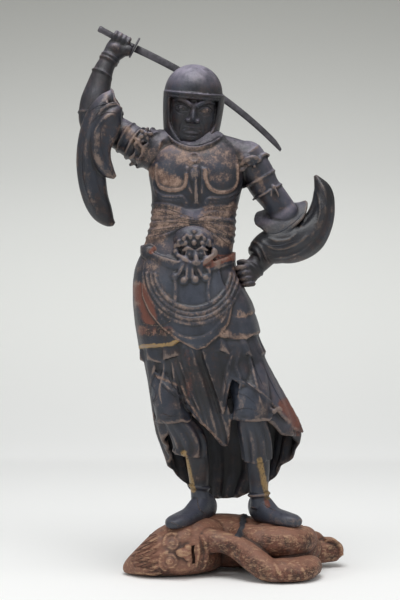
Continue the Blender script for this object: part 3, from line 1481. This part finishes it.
def markMesh(mesh, strokes, tagged, dustiness, edging):
    points, normals, edges = meshArrays(mesh)
    turn = turnOf(points, normals, edges, 6)  # how far a point stands out, first near it and then wide
    broad = turnOf(points, normals, edges, 24)
    marks = {
        "edge": np.clip(turn * 1.5 + broad * 0.12, 0, 1) * edging,
        "deep": np.clip(-turn * 1.3 - broad * 0.35, 0, 1),
        "dust": np.clip(normals[:, 2] * 1.25, 0, 1) ** 1.4 * dustiness,
    }
    for name in ("worn", "red", "gilt", "blue", "clean", "soft", "band"):
        marks[name] = np.zeros(len(points))
    places = viewPlaces(points)
    facing = np.clip(-normals[:, 1] * 3 + 0.6, 0, 1)
    for mark, path, radius, strength in strokes:
        marks[mark] = np.maximum(marks[mark], strokeShare(places, path, radius) * strength * facing)
    for mark, lumps, reach, strength in tagged:
        tree = Skin(lumps).tree
        gap = np.array([tree.find_nearest(Vector(p))[3] for p in points])
        marks[mark] = np.maximum(marks[mark], np.clip(1.6 - gap / reach, 0, 1) * strength)
    marks["dust"] *= 1 - np.clip(marks.pop("clean"), 0, 1)
    marks["deep"] *= 1 - np.clip(marks.pop("soft"), 0, 1)
    for name, values in marks.items():
        layer = mesh.attributes.new(name, "FLOAT", "POINT")
        layer.data.foreach_set("value", values.astype(np.float32))


# Where the carving stands in the frame

guardLow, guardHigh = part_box("sword_guard")
guardMiddle = fistMiddle + swordAlong * (guardStart + guardEnd) / 2
frameShift = np.array((guardLow + guardHigh) / 2) - (guardMiddle + (0, 0, seatGap)) * unitSize
cameraPlace = Vector((frameShift[0], frameShift[1] - viewDistance * unitSize, viewHeight * unitSize))


def toWorld(points):
    return (np.asarray(points, float) + (0, 0, seatGap)) * unitSize + frameShift


def triangles(mesh):
    return sum(len(p.vertices) - 2 for p in mesh.polygons)


def carvedPiece(name, node, lumps, look, finish, strokes=(), tagged=(), cutter=None):
    mesh = fused(name, lumps, look["voxel"], look["rounds"], look.get("single", True))
    faces = triangles(mesh)
    if faces > look["triangles"] or cutter:
        spare = newObject(name + "Thick", mesh)
        if cutter:
            cut = spare.modifiers.new("cut", "BOOLEAN")
            cut.object = meshObject(name + "Cutter", *cutter)
            cut.operation = "DIFFERENCE"
            cut.solver = "EXACT"
        thin = spare.modifiers.new("thin", "DECIMATE")
        thin.ratio = min(1.0, look["triangles"] / faces)
        mesh = evaluatedMesh(spare)
        if cutter:
            bpy.data.objects.remove(bpy.data.objects[name + "Cutter"], do_unlink=True)
    markMesh(mesh, strokes, tagged, look["dust"], look["edging"])
    world = toWorld(meshArrays(mesh)[0])
    if "lowest" in look:
        world[:, 2] = np.maximum(world[:, 2], look["lowest"])
    mesh.vertices.foreach_set("co", world.ravel())
    mesh.polygons.foreach_set("use_smooth", np.ones(len(mesh.polygons), bool))
    mesh.materials.clear()
    mesh.materials.append(finish)
    mesh.update()
    piece = newObject(name, mesh)
    joinPiece(piece, node)
    print(name, faces, "triangles before thinning,", triangles(mesh), "after")
    return piece


def joinPiece(piece, node):
    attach(piece, "root")
    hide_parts(node)


# Geometry Nodes for what repeats: cords laid along paths, and beads set at places


def newTree(name, inputs):
    tree = bpy.data.node_groups.new(name, "GeometryNodeTree")
    tree.interface.new_socket("Geometry", in_out="INPUT", socket_type="NodeSocketGeometry")
    for label, kind in inputs:
        tree.interface.new_socket(label, in_out="INPUT", socket_type="NodeSocket" + kind)
    tree.interface.new_socket("Geometry", in_out="OUTPUT", socket_type="NodeSocketGeometry")
    return tree, tree.nodes.new("NodeGroupInput"), tree.nodes.new("NodeGroupOutput")


def finishTree(tree, made, end, finish):
    whole = tree.nodes.new("GeometryNodeRealizeInstances")
    smooth = tree.nodes.new("GeometryNodeSetShadeSmooth")
    paint = tree.nodes.new("GeometryNodeSetMaterial")
    paint.inputs["Material"].default_value = finish
    tree.links.new(made, whole.inputs["Geometry"])
    wired(tree, whole, "Geometry", smooth, "Geometry")
    wired(tree, smooth, "Geometry", paint, "Geometry")
    wired(tree, paint, "Geometry", end, "Geometry")
    return tree


def cordTree(finish):
    tree, start, end = newTree("layCords", (("Thickness", "Float"), ("Sides", "Int")))
    curve = tree.nodes.new("GeometryNodeMeshToCurve")
    along = tree.nodes.new("GeometryNodeSplineParameter")
    ring = tree.nodes.new("GeometryNodeCurvePrimitiveCircle")
    sweep = tree.nodes.new("GeometryNodeCurveToMesh")
    sweep.inputs["Fill Caps"].default_value = True
    wired(tree, start, "Geometry", curve, "Mesh")
    wired(tree, start, "Thickness", ring, "Radius")
    wired(tree, start, "Sides", ring, "Resolution")
    halfTurn = times(tree, along.outputs["Factor"], math.pi)
    swell = maths(tree, "POWER", maths(tree, "SINE", halfTurn, clamp=True), 0.6)
    thick = plus(tree, times(tree, swell, 0.8), 0.2)  # full in the middle, fine at its ends
    tree.links.new(thick, sweep.inputs["Scale"])
    wired(tree, curve, "Curve", sweep, "Curve")
    wired(tree, ring, "Curve", sweep, "Profile Curve")
    return finishTree(tree, sweep.outputs["Mesh"], end, finish)


def beadTree(finish):
    tree, start, end = newTree("setBeads", (("Size", "Float"), ("Uneven", "Float"), ("Seed", "Int")))
    points = tree.nodes.new("GeometryNodeMeshToPoints")
    ball = tree.nodes.new("GeometryNodeMeshIcoSphere")
    ball.inputs["Subdivisions"].default_value = 2
    chance = tree.nodes.new("FunctionNodeRandomValue")
    scatter = tree.nodes.new("GeometryNodeInstanceOnPoints")
    wired(tree, start, "Geometry", points, "Mesh")
    wired(tree, start, "Size", ball, "Radius")
    tree.links.new(maths(tree, "SUBTRACT", 1.0, start.outputs["Uneven"]), chance.inputs[2])
    tree.links.new(plus(tree, start.outputs["Uneven"], 1.0), chance.inputs[3])
    wired(tree, start, "Seed", chance, "Seed")
    wired(tree, points, "Points", scatter, "Points")
    wired(tree, ball, "Mesh", scatter, "Instance")
    wired(tree, chance, 1, scatter, "Scale")
    return finishTree(tree, scatter.outputs["Instances"], end, finish)


def grownPiece(name, node, guides, tree, inputs):
    verts, links = [], []
    for guide in guides:
        links += [(len(verts) + i, len(verts) + i + 1) for i in range(len(guide) - 1)]
        verts += guide
    guideObject = meshObject(name + "Guide", verts, [], edges=links)
    grow = guideObject.modifiers.new("grow", "NODES")
    grow.node_group = tree
    for item in tree.interface.items_tree:
        if item.in_out == "INPUT" and item.name in inputs:
            grow[item.identifier] = inputs[item.name]
    mesh = evaluatedMesh(guideObject)
    joinPiece(newObject(name, mesh), node)
    print(name, len(guides), "guides,", len(mesh.polygons), "faces")


def cordPiece(name, node, guides, finish, look):
    guides = [guide for guide in guides if len(guide) > fewestPoints]
    inputs = {"Thickness": look["thickness"] * unitSize, "Sides": look["sides"]}
    grownPiece(name, node, guides, cordTree(finish), inputs)


def onCarving(piece, path, lift=0.0, fine=4):
    found = []
    for px, py in spline(path, fine):
        across, up = px - pictureMiddle[0], pictureMiddle[1] - py
        sight = Vector((across / viewScale, 1.0, up / viewScale)).normalized()
        hit, place, normal, _ = piece.ray_cast(cameraPlace, sight)
        if hit:
            found.append(place + normal * lift * unitSize)
    return found


def laidCords(name, piece, paths, finish, look):
    guides = [onCarving(piece, path, look["lift"]) for path in paths]
    cordPiece(name, "guardian_figure", guides, finish, look)


# The pieces

lacquer = lacquerMaterial("darkLacquer", lacquerColours)
demonWood = demonMaterial("demonWood", demonColours)
darkMetal = metalMaterial("darkMetal", swordColours)
wornGilt = flakedMaterial("wornGilt", giltColours)
wornCloth = flakedMaterial("wornCloth", clothColours)

trunkBase = [*trunk(), hipCore(), *armourSkirt()]
trunkSkin = Skin(trunkBase)

# A stroke is a mark, its path and radius in points of a 400 x 600 picture, and its strength
# A tag is a mark, the lumps it lies along, its reach in millimetres, and its strength
# In a look, voxel is in millimetres and lowest, the least height above the floor, in metres

headLook = {"voxel": 1.2, "rounds": 2, "triangles": 120000, "dust": 1.3, "edging": 0.35}
headStrokes = [("worn", [(172, 72), (190, 66), (208, 72)], 7, 0.18)]
faceLumps, eyeBalls = faceDetail()
headTagged = [("worn", eyeBalls, 1.0, 0.6)]
headLumps = [*head(), *faceLumps]
carvedPiece("head", "guardian_figure", headLumps, headLook, lacquer, headStrokes, headTagged)

torsoLook = {"voxel": 1.7, "rounds": 2, "triangles": 195000, "dust": 1.1, "edging": 1.0}
torsoStrokes = [
    ("worn", [(146, 158), (168, 150), (190, 158), (212, 152), (236, 162)], 11, 0.72),
    ("worn", [(158, 146), (176, 152), (192, 154), (212, 150), (230, 146)], 7, 0.55),
    ("soft", [(150, 214), (192, 216), (236, 214)], 9, 0.75),
    ("soft", [(150, 232), (192, 228), (234, 238)], 9, 0.75),
    ("worn", [(153, 172), (166, 180), (176, 184)], 8, 0.95),
    ("worn", [(203, 174), (218, 178), (228, 176)], 7, 0.6),
    ("worn", [(150, 213), (166, 214), (176, 213)], 8, 0.85),
    ("worn", [(208, 212), (220, 213), (236, 208)], 8, 0.85),
    ("dust", [(180, 214), (194, 215), (204, 215)], 5, 0.5),
    ("worn", [(148, 228), (166, 226), (184, 222)], 7, 0.85),
    ("worn", [(204, 222), (220, 228), (234, 232)], 8, 0.8),
    ("worn", [(146, 240), (160, 238)], 8, 0.9),
    ("worn", [(216, 240), (230, 246)], 6, 0.8),
    ("worn", [(112, 140), (120, 150), (128, 158)], 6, 0.5),
    ("worn", [(126, 130), (136, 142), (142, 150)], 6, 0.8),
    ("worn", [(246, 162), (256, 170), (262, 190)], 5, 0.6),
    ("clean", [(240, 246), (262, 240), (290, 234), (316, 214), (327, 186)], 17, 1.0),
    ("deep", [(252, 246), (272, 242), (296, 234), (318, 212), (326, 188)], 14, 0.72),
    ("dust", [(258, 219), (270, 223), (282, 218), (292, 210), (299, 202)], 4.5, 1.1),
    ("worn", [(104, 46), (112, 41), (121, 38)], 8, 0.4),
    ("clean", [(92, 118), (86, 150), (90, 190), (106, 214)], 20, 0.8),
    ("clean", [(82, 112), (88, 76), (100, 60)], 10, 0.6),
]
chestCords = chestTrim(trunkSkin)
torsoLumps = [*trunk(), *waistSash(trunkSkin), *raisedArm(), *raisedArmTrim(), *raisedSleeve(), *swordFist()]
torsoLumps += [*hipArm(), *hipArmTrim(), *hipSleeve(), *hipFist(), *chestCords, *shoulderKnots(), *hoodHem()]
torsoTagged = [("worn", chestCords[:2], 1.0, 1.0)]
torsoPiece = carvedPiece(
    "torsoAndArms", "guardian_figure", torsoLumps, torsoLook, lacquer, torsoStrokes, torsoTagged
)

armourPieces, robePieces = armourSkirt(), robe()
kneeCloths, shins = legs()
leftRoll, upperRoll, lowerRoll, apronRoll = (armourPieces[k] for k in (1, 5, 7, 9))
middleRoll, panelRoll = robePieces[1], robePieces[6]
skirtLook = {"voxel": 1.8, "rounds": 2, "triangles": 198000, "dust": 0.6, "edging": 1.0}
skirtStrokes = [
    ("red", [(139, 290), (146, 305), (150, 318)], 9, 1.0),
    ("red", [(140, 330), (158, 332), (168, 330)], 6, 0.7),
    ("worn", [(142, 328), (156, 334), (172, 332)], 5, 0.65),
    ("red", [(151, 252), (157, 247), (164, 252)], 2.6, 1.2),
    ("clean", [(160, 370), (158, 404), (180, 420)], 22, 0.6),
    ("clean", [(235, 366), (244, 400), (262, 420)], 22, 0.6),
    ("red", [(284, 405), (294, 420), (300, 432)], 8, 0.75),
    ("red", [(186, 352), (188, 372), (190, 395)], 5, 0.55),
    ("worn", [(155, 376), (182, 387), (189, 403), (202, 423), (222, 443)], 1.7, 0.85),
    ("blue", [(172, 288), (192, 298), (210, 288)], 18, 0.95),
    ("blue", [(180, 328), (194, 340), (206, 330)], 12, 0.9),
    ("blue", [(240, 312), (250, 326), (248, 340)], 12, 0.6),
    ("blue", [(236, 384), (240, 396), (244, 408)], 12, 0.9),
    ("blue", [(162, 374), (160, 396), (164, 412)], 10, 0.6),
    ("dust", [(262, 372), (276, 400), (286, 420)], 9, 0.3),
    ("red", [(208, 264), (220, 259), (233, 256)], 4.6, 1.4),
    ("worn", [(150, 262), (156, 280), (168, 304), (188, 318), (212, 320), (228, 304), (236, 270)], 8, 0.55),
    ("worn", [(238, 310), (246, 316), (252, 312)], 3, 0.7),
    ("worn", [(220, 330), (234, 336), (250, 336)], 3, 0.8),
]
swags = apronTrim(trunkSkin)
skirtLumps = [hipCore(), *armourPieces, *ruffle(), *robePieces]
skirtLumps += [*belt(trunkSkin), *lionMask(trunkSkin), *swags, *sideKnot(trunkSkin), *kneeBows()]
skirtLumps += [*kneeCloths, *kneeFolds(kneeCloths, robePieces), *maskBeard(trunkSkin)]
skirtTagged = [
    ("gilt", [leftRoll], 1.0, 1.0),
    ("worn", [upperRoll, lowerRoll, apronRoll], 1.2, 0.9),
    ("worn", [middleRoll, panelRoll], 1.2, 0.6),
    ("worn", swags, 1.2, 0.55),
]
skirtPiece = carvedPiece(
    "armourAndRobe", "guardian_figure", skirtLumps, skirtLook, lacquer, skirtStrokes, skirtTagged
)

legLook = {"voxel": 1.4, "rounds": 2, "triangles": 120000, "dust": 0.6, "edging": 1.0}
legLook.update(single=False, lowest=0.0803)
legStrokes = [
    ("gilt", [(183.5, 453), (187, 466), (190, 478), (193, 490)], 3.8, 1.0),
    ("gilt", [(259.6, 460), (262.5, 474), (265.5, 488), (268, 497)], 3.8, 1.0),
    ("blue", [(200, 500), (192, 512), (172, 524)], 14, 0.8),
    ("blue", [(256, 502), (272, 514), (296, 524)], 14, 0.8),
    ("blue", [(248, 430), (250, 448), (252, 462)], 12, 0.5),
    ("red", [(266, 500), (268, 506)], 2.5, 1.0),
]
legLumps = [*shins, *boots(), *legTrim()]
legPiece = carvedPiece("legsAndBoots", "guardian_figure", legLumps, legLook, lacquer, legStrokes)

demonLook = {"voxel": 1.6, "rounds": 2, "triangles": 180000, "dust": 1.0, "edging": 1.0, "lowest": 0.0}
demonStrokes = [
    ("dust", [(134, 556), (150, 548), (166, 548), (184, 552)], 17, 1.4),
    ("dust", [(196, 530), (212, 524), (226, 530)], 9, 0.9),
    ("soft", [(134, 556), (146, 548), (154, 544)], 16, 0.7),
]
demonBase = [*demonHead(), *demonBody(), *demonArm(), *demonFoot()]
demonDetail = demonTrim(Skin(demonBase))
demonLumps = [*demonBase, *demonDetail]
demonTagged = [("band", demonDetail[-1:], 0.8, 1.6)]  # the strap over its back comes last
demonPiece = carvedPiece(
    "demon", "demon_base", demonLumps, demonLook, demonWood, demonStrokes, demonTagged, mouthSlot()
)

shinLook = {"bead": 0.85, "uneven": 0.35, "seed": 4, "steps": 5, "spread": 1.9}  # spread in picture points
shinStrips = {
    "right": [(184.5, 454), (187, 466), (190, 479), (193, 490)],
    "left": [(259.6, 464), (262.5, 476), (265.5, 488), (268, 497)],
}


def shinBeads(look):
    beads = []
    for strip in shinStrips.values():
        rows = spline(strip, look["steps"])
        for i, (px, py) in enumerate(rows):
            narrow = look["spread"] * (1 - 0.5 * i / len(rows))
            shifts = (-2.0, 0.0, 2.0) if i % 2 else (-1.0, 1.0)
            for shift in shifts:
                x = px + shift * narrow
                beads += [[bead] for bead in onCarving(legPiece, [(x, py), (x, py + 0.01)], 0.1, 1)[:1]]
    inputs = {"Size": look["bead"] * unitSize, "Uneven": look["uneven"], "Seed": look["seed"]}
    grownPiece("shinBeads", "guardian_figure", beads, beadTree(wornGilt), inputs)


shinBeads(shinLook)

sashLook = {"thickness": 0.75, "sides": 8, "lift": 0.1}
sashFolds = [
    [(149, 209), (165, 213), (186, 219), (204, 221), (222, 219), (238, 213)],
    [(150, 216), (168, 216), (188, 221), (208, 223), (226, 225), (237, 229)],
    [(149, 223), (166, 222), (186, 223), (200, 224)],
    [(150, 231), (168, 228), (186, 226), (198, 225)],
    [(196, 219), (210, 214), (226, 208), (238, 205)],
    [(200, 223), (216, 229), (230, 236), (236, 241)],
    [(202, 225), (214, 233), (224, 241), (232, 248)],
    [(152, 206), (168, 209), (184, 215), (196, 219)],
    [(147, 238), (160, 234), (174, 230), (184, 227)],
]
laidCords("sashFolds", torsoPiece, sashFolds, wornCloth, sashLook)

hipLook = {"thickness": 1.0, "sides": 8}


def hipPattern(look):
    guides = []
    for cx, cy, size in ((149, 333, 4.0), (160, 331.5, 4.2), (169, 332, 3.6)):
        for turn in (0.0, 2.1, 4.2):
            curl = []
            for t in np.linspace(0, 1, 7):
                reach = size * (0.35 + 0.65 * t)
                curl.append((cx + reach * math.cos(turn + 3.6 * t), cy + reach * math.sin(turn + 3.6 * t)))
            guides.append(onCarving(skirtPiece, curl, 0.0, 2))
    guides.append(onCarving(skirtPiece, [(140, 322), (150, 325), (162, 325), (172, 320)], 0.0))
    cordPiece("hipPattern", "guardian_figure", guides, wornCloth, look)


hipPattern(hipLook)

robeLook = {"thickness": 0.9, "sides": 8, "lift": 0.1}
robeFolds = [
    [(153, 372), (158, 380), (166, 389), (176, 396), (186, 403)],
    [(176, 398), (184, 404), (193, 413), (203, 424)],
    [(151, 384), (156, 394), (153, 402), (158, 398)],
    [(222, 372), (226, 385), (224, 396)],
    [(238, 375), (248, 384), (258, 392), (266, 402)],
    [(262, 360), (268, 376), (276, 392), (283, 404)],
    [(252, 356), (257, 372), (263, 386)],
    [(166, 372), (172, 384), (181, 394)],
    [(226, 400), (236, 394), (246, 396), (256, 404)],
    [(160, 412), (170, 416), (180, 414)],
    [(232, 412), (246, 408), (260, 412)],
]
laidCords("robeFolds", skirtPiece, robeFolds, lacquer, robeLook)

sleeveLook = {"thickness": 1.0, "sides": 8, "lift": 0.0}
sleeveFolds = [
    [(88, 113), (96, 107), (107, 103.5), (119, 103)],
    [(90, 124), (97, 117), (108, 112.5), (124, 114)],
    [(104, 120), (100.5, 132), (101, 146), (106, 161), (114, 177)],
    [(93, 160), (97, 180), (103, 197), (109, 203)],
    [(84, 140), (82, 165), (86, 190), (96, 214)],
    [(92, 52), (89, 62), (88, 76), (84, 92)],
    [(240, 240), (256, 242), (276, 246), (298, 240)],
    [(256, 232), (276, 233), (292, 224), (304, 212)],
    [(316, 176), (322, 190), (326, 204), (314, 214)],
]
laidCords("sleeveFolds", torsoPiece, sleeveFolds, lacquer, sleeveLook)

bootLook = {"thickness": 0.8, "sides": 8, "lift": 0.0}
bootSeams = [
    [(197.5, 498), (198, 505), (200, 510), (206, 514)],
    [(169, 521), (180, 526), (192, 525), (206, 516)],
    [(252, 521), (266, 526), (284, 529), (298, 525)],
    [(262, 503), (268, 507), (276, 511)],
]
laidCords("bootSeams", legPiece, bootSeams, wornCloth, bootLook)

hairLook = {"thickness": 1.0, "sides": 8, "locks": 20}


def demonHair(look):
    guides = []
    for i in range(look["locks"]):
        share = i / (look["locks"] - 1)
        start = (157.0 - 6.0 * (share - 0.4) ** 2, 531.0 + 37.0 * share)
        end = (139.0 - 9.0 * math.sin(math.pi * (0.25 + 0.6 * share)), 543.0 + 25.0 * share)
        path = []
        for t in np.linspace(0, 1, 6):
            sway = 1.3 * math.sin(5.0 * t + 1.7 * i)
            path.append((start[0] + (end[0] - start[0]) * t, start[1] + (end[1] - start[1]) * t + sway))
        guides.append(onCarving(demonPiece, path, 0.2))
    cordPiece("demonHair", "demon_base", guides, demonWood, look)


demonHair(hairLook)


def plainPiece(name, node, lumps):
    verts, faces = joined(lumps)
    piece = meshObject(name, toWorld(verts), faces, darkMetal)
    piece.data.shade_smooth()
    joinPiece(piece, node)


radius = gripLook["diameter"] / 2
gripRows = [
    (-gripEnd, radius * 0.72),
    (-gripEnd + 1.5, radius),
    (-gripEnd + 6, radius),
    (-gripEnd + 7, radius * 0.93),
    (gripEnd - 5, radius * 0.95),
    (gripEnd - 4, radius),
    (gripEnd, radius),
]
plainPiece("swordGrip", "sword_grip", [swordBar(gripRows, gripLook["sides"])])
radius = guardLook["diameter"] / 2
guardRows = [
    (guardStart, radius * 0.93),
    (guardStart + 0.6, radius),
    (guardEnd - 0.6, radius),
    (guardEnd, radius * 0.93),
]
plainPiece("swordGuard", "sword_guard", [swordBar(guardRows, guardLook["sides"])])
plainPiece("swordBlade", "sword_blade", [bladeLump()])
print("pieces made")

# Floor, light and camera

roomLook = {"low": "#fafafa", "middle": "#f7f8f4", "high": "#a3a39e", "sky": "#f2f3f5", "ambient": 0.47}


def room(look):
    rows = [(-3.0, 0.0), (1.0, 0.0), (1.8, 0.05), (2.4, 0.3), (2.8, 0.8), (3.0, 1.5), (3.0, 4.0)]
    rows = spline([(0, y, z) for y, z in rows], 8)
    verts = [(x, y, z) for _, y, z in rows for x in (-5.0, 5.0)]
    faces = [(2 * i, 2 * i + 1, 2 * i + 3, 2 * i + 2) for i in range(len(rows) - 1)]
    made, tree, shader = shaderTree("paleFloor")
    place = tree.nodes.new("ShaderNodeTexCoord")
    parts = tree.nodes.new("ShaderNodeSeparateXYZ")
    wired(tree, place, "Object", parts, 0)
    colour = mixed(tree, steps(tree, parts.outputs["Z"], -0.4, 0.5), look["low"], look["middle"])
    colour = mixed(tree, steps(tree, parts.outputs["Z"], 0.3, 1.9), colour, look["high"])
    tree.links.new(colour, shader.inputs["Base Color"])
    shader.inputs["Roughness"].default_value = 1.0
    floor = meshObject("floor", verts, faces, made)
    floor.data.shade_smooth()
    world = bpy.data.worlds.new("studio")
    bpy.context.scene.world = world
    world.use_nodes = True
    back = world.node_tree.nodes["Background"]
    back.inputs["Color"].default_value = linearColour(look["sky"])
    back.inputs["Strength"].default_value = look["ambient"]


lampLook = [  # name, place and aim in metres, size, power
    ("above", (0.0, -0.6, 2.4), (0.0, 0.0, 0.6), 1.5, 36.0),
    ("left", (-2.0, -1.6, 1.3), (0.0, 0.0, 0.5), 1.2, 11.0),
    ("right", (2.0, -1.8, 1.4), (0.0, 0.0, 0.5), 1.2, 8.0),
    ("backdrop", (0.0, 1.0, 2.2), (0.0, 3.0, 0.7), 2.0, 9.0),
]


def lamps(look):
    for name, place, aim, size, power in look:
        data = bpy.data.lights.new(name, "AREA")
        data.energy, data.size = power, size
        lamp = newObject(name, data)
        lamp.location = place
        lamp.rotation_euler = (Vector(aim) - Vector(place)).to_track_quat("-Z", "Y").to_euler()


room(roomLook)
lamps(lampLook)

cameraData = bpy.data.cameras.new("photoView")
cameraData.sensor_width = sensorWidth
cameraData.lens = sensorWidth * viewScale / pictureHeight
camera = newObject("photoView", cameraData)
camera.location = cameraPlace
camera.rotation_euler = (math.radians(90), 0, 0)
bpy.context.scene.camera = camera
bpy.context.scene.view_settings.view_transform = "Standard"
print("floor, light and camera set")
